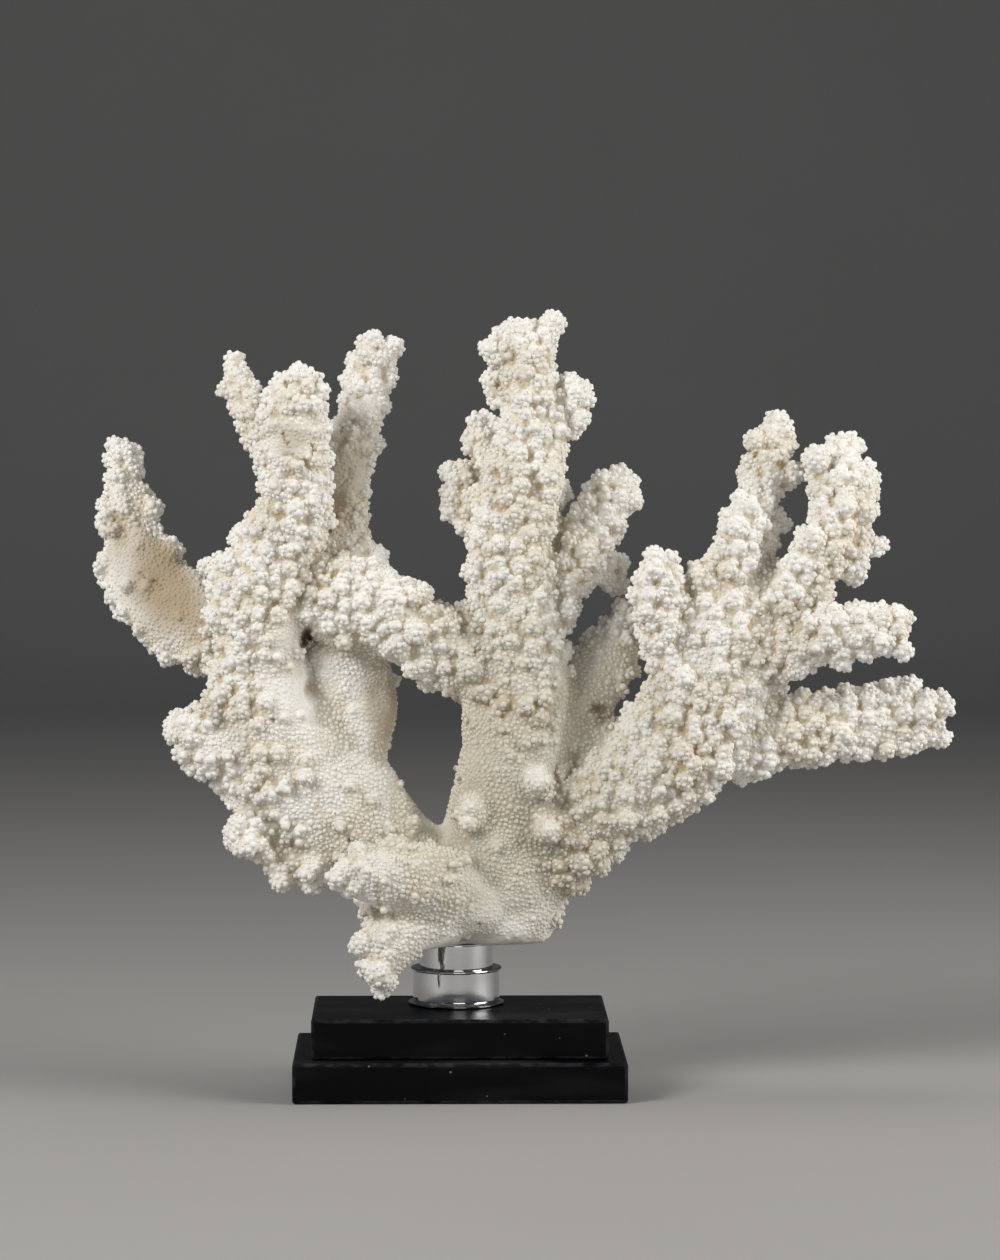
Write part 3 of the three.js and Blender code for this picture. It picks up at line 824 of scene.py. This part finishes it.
def makeTier(name):
    low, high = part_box(name)
    shape = bmesh.new()
    bmesh.ops.create_cube(shape, size=1.0)
    for vertex in shape.verts:
        vertex.co = [(a + b) / 2 + c * (b - a) for a, b, c in zip(low, high, vertex.co)]
    bmesh.ops.bevel(shape, geom=shape.edges[:], offset=plinth["edge"], segments=plinth["edgeSteps"],
                    profile=0.5, affect="EDGES")
    sides = [face for face in shape.faces if face.calc_area() > plinth["smallSide"]]
    edgeBandLayer = shape.verts.layers.float.new("wearAndHighlight")
    for vertex in shape.verts:
        vertex[edgeBandLayer] = 1.0
    inner = set()
    bmesh.ops.inset_individual(shape, faces=sides, thickness=plinth["highlightAndWearBand"])
    for face in sides:
        inner.update(face.verts)
    for vertex in inner:
        vertex[edgeBandLayer] = 0.0
    mesh = bpy.data.meshes.new(name + ".painted")
    shape.to_mesh(mesh)
    shape.free()
    mesh.polygons.foreach_set("use_smooth", np.ones(len(mesh.polygons), dtype=bool))
    mesh.set_sharp_from_angle(angle=math.radians(plinth["crispAngle"]))
    mesh.materials.append(blackPaint)
    tier = objectFromMesh(mesh)
    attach(tier, "root")
    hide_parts(name)


def paintMaterial():
    material, tree, surface = newMaterial("blackSatinPaint")
    dusted = addDust(tree)
    where = addNode(tree, "ShaderNodeTexCoord").outputs["Object"]
    chips = addNode(tree, "ShaderNodeTexNoise", Vector=where, Scale=170.0, Detail=4.0).outputs["Fac"]
    normal = addNode(tree, "ShaderNodeNewGeometry").outputs["Normal"]
    up = addNode(tree, "ShaderNodeSeparateXYZ", Vector=normal).outputs["Z"]
    # the lighter band along the edges is partly worn paint and partly painted highlight
    wearAndHighlight = addMath(tree, "MULTIPLY", addSteps(tree, attribute(tree, "wearAndHighlight"), 0.45, 1.0),
                   addSteps(tree, chips, 0.38, 0.66))
    colour = addMix(tree, wearAndHighlight, plinth["paint"], plinth["wornPaintAndHighlight"])
    film = addMath(tree, "MULTIPLY", addSteps(tree, up, 0.3, 1.0, 0.02, 0.10), dusted["Smudge"])
    colour = addMix(tree, addMath(tree, "MAXIMUM", film, dusted["Specks"]), colour, plinth["dustColour"])
    tree.links.new(colour, surface.inputs["Base Color"])
    tree.links.new(addSteps(tree, dusted["Smudge"], 0.0, 1.0, 0.34, 0.5), surface.inputs["Roughness"])
    surface.inputs["Specular IOR Level"].default_value = plinth["shine"]
    bump = addNode(tree, "ShaderNodeBump", Height=chips, Distance=plinth["chipDepth"], Strength=0.4)
    tree.links.new(bump.outputs["Normal"], surface.inputs["Normal"])
    return material


blackPaint = paintMaterial()
makeTier("plinth_lower")
makeTier("plinth_upper")
print("plinth done")


# collar: turned and polished, standing on a flared foot

collar = {
    "steps": 96,
    "foot": (22.5 * mm, 0.9 * mm, 2.6 * mm),   # radius, edge height, height of the flare
    "lower": 20.4 * mm,
    "bead": (21.4 * mm, 1.6 * mm),
    "shoulder": 17.4 * mm,
    "upper": 17.2 * mm,
    "rim": (19.0 * mm, 1.0 * mm),
    "round": 0.35 * mm,
    "crispAngle": 40,
    "tarnished": 0.35,
    "metal": (0.74, 0.75, 0.77, 1),
    "tarnish": (0.52, 0.49, 0.45, 1),
}


def collarOutline(top):
    footRadius, footEdge, footHigh = collar["foot"]
    beadRadius, beadHigh = collar["bead"]
    rimRadius, rimHigh = collar["rim"]
    lower, upper, shoulder, soft = collar["lower"], collar["upper"], collar["shoulder"], collar["round"]
    flare = []
    for step in range(7):
        turn = math.radians(15 * step)
        flare.append((footRadius - (footRadius - lower) * math.sin(turn),
                      footHigh - (footHigh - footEdge) * math.cos(turn)))
    bead = []
    for step in range(9):
        turn = math.radians(-90 + 22.5 * step)
        bead.append((beadRadius - beadHigh / 2 + beadHigh / 2 * math.cos(turn),
                     shoulder - beadHigh / 2 + beadHigh / 2 * math.sin(turn)))
    return ([(0, 0), (footRadius - soft, 0), (footRadius, soft)] + flare
            + [(lower, shoulder - beadHigh)] + bead
            + [(upper + soft, shoulder), (upper, shoulder + soft), (upper, top - rimHigh),
               (rimRadius - soft, top - rimHigh), (rimRadius, top - rimHigh + soft),
               (rimRadius, top - soft), (rimRadius - soft, top), (0, top)])


def makeCollar():
    low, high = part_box("collar")
    middleX, middleY = (low[0] + high[0]) / 2, (low[1] + high[1]) / 2
    outline = collarOutline(high[2] - low[2])
    shape = bmesh.new()
    rings = []
    for radius, level in outline:
        turns = [2 * math.pi * step / collar["steps"] for step in range(collar["steps"] if radius else 1)]
        rings.append([shape.verts.new((middleX + radius * math.cos(t), middleY + radius * math.sin(t),
                                       low[2] + level)) for t in turns])
    for under, over in zip(rings, rings[1:]):
        for step in range(collar["steps"]):
            ahead = step + 1
            corners = [under[step % len(under)], under[ahead % len(under)],
                       over[ahead % len(over)], over[step % len(over)]]
            shape.faces.new(list(dict.fromkeys(corners)))
    mesh = bpy.data.meshes.new("collar.turned")
    shape.to_mesh(mesh)
    shape.free()
    mesh.polygons.foreach_set("use_smooth", np.ones(len(mesh.polygons), dtype=bool))
    mesh.set_sharp_from_angle(angle=math.radians(collar["crispAngle"]))
    mesh.materials.append(chromeMaterial())
    turned = objectFromMesh(mesh)
    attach(turned, "root")
    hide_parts("collar")


def chromeMaterial():
    material, tree, surface = newMaterial("polishedChrome")
    dusted = addDust(tree)
    stain = addMath(tree, "MULTIPLY", dusted["Smudge"], collar["tarnished"])
    colour = addMix(tree, stain, collar["metal"], collar["tarnish"])
    tree.links.new(colour, surface.inputs["Base Color"])
    surface.inputs["Metallic"].default_value = 1.0
    rough = addMath(tree, "ADD", addSteps(tree, dusted["Smudge"], 0.0, 1.0, 0.04, 0.13), dusted["Specks"])
    tree.links.new(rough, surface.inputs["Roughness"])
    return material


makeCollar()
print("collar done")


# stage, light and camera

floorLook = {                    # a paper sweep, in metres, that bends up far behind the part
    "colour": (0.38, 0.37, 0.36, 1),
    "other": (0.35, 0.34, 0.33, 1),
    "roughness": 0.75,
    "half": 5.0,
    "front": -4.0,
    "back": 2.4,
    "bend": 1.2,
    "bendSteps": 12,
    "high": 3.2,
    "under": 0.2 * mm,           # just below the plinth
}


def makeFloor():
    back, bend, steps = floorLook["back"], floorLook["bend"], floorLook["bendSteps"]
    profile = [(floorLook["front"], 0.0)]
    for step in range(steps + 1):
        turn = math.radians(90 * step / steps)
        profile.append((back + bend * math.sin(turn), bend * (1 - math.cos(turn))))
    profile.append((back + bend, floorLook["high"]))
    points = [(side * floorLook["half"], y, z - floorLook["under"]) for y, z in profile for side in (-1, 1)]
    faces = [(2 * i, 2 * i + 1, 2 * i + 3, 2 * i + 2) for i in range(len(profile) - 1)]
    mesh = meshFromFaces("floor", np.array(points), np.array(faces))
    mesh.polygons.foreach_set("use_smooth", np.ones(len(faces), dtype=bool))
    material, tree, surface = newMaterial("floorPaper")
    where = addNode(tree, "ShaderNodeTexCoord").outputs["Object"]
    cloud = addNode(tree, "ShaderNodeTexNoise", Vector=where, Scale=3.0, Detail=3.0).outputs["Fac"]
    colour = addMix(tree, cloud, floorLook["colour"], floorLook["other"])
    tree.links.new(colour, surface.inputs["Base Color"])
    surface.inputs["Roughness"].default_value = floorLook["roughness"]
    mesh.materials.append(material)
    floor = objectFromMesh(mesh)
    floor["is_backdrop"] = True


lights = {                       # place, size, power and colour
    "leftBox": ((-1.13, -0.95, 1.05), (0.7, 0.7), 22, (1.0, 0.985, 0.96)),
    "rightBox": ((1.30, -0.42, 0.73), (0.8, 0.8), 16, (1.0, 0.98, 0.95)),
    "fill": ((0.25, -1.85, 0.55), (1.0, 0.8), 4.2, (1.0, 0.99, 0.97)),
    "top": ((0.0, 0.3, 1.7), (0.8, 0.6), 4.6, (1.0, 0.98, 0.95)),
}
lightsAim = Vector((0.0, 0.0, 0.2))


def areaLight(name, place, size, power, colour):
    light = bpy.data.lights.new(name, "AREA")
    light.shape = "RECTANGLE"
    light.size, light.size_y = size
    light.energy = power
    light.color = colour
    lamp = bpy.data.objects.new(name, light)
    lamp.location = place
    lamp.rotation_euler = (lightsAim - Vector(place)).to_track_quat("-Z", "Y").to_euler()
    bpy.context.scene.collection.objects.link(lamp)


makeFloor()
for name, settings in lights.items():
    areaLight(name, *settings)

skyGlow = {"colour": (0.36, 0.42, 0.52, 1), "strength": 0.10}
world = bpy.data.worlds.new("studio")
bpy.context.scene.world = world
world.use_nodes = True
sky = world.node_tree.nodes["Background"]
sky.inputs["Color"].default_value = skyGlow["colour"]
sky.inputs["Strength"].default_value = skyGlow["strength"]

view = {"from": (-0.015, -2.150, 0.338), "at": (0.019, 0.0, 0.2146), "lens": 132.0, "sensor": 36.0}
camera = bpy.data.objects.new("camera", bpy.data.cameras.new("camera"))
camera.location = view["from"]
camera.rotation_euler = (Vector(view["at"]) - Vector(view["from"])).to_track_quat("-Z", "Y").to_euler()
camera.data.lens = view["lens"]
camera.data.sensor_width = view["sensor"]
bpy.context.scene.collection.objects.link(camera)
bpy.context.scene.camera = camera
bpy.context.scene.view_settings.view_transform = "Standard"
print("stage, lights and camera done")

[[list(corner) for corner in box] for box in (cadBox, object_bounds())]
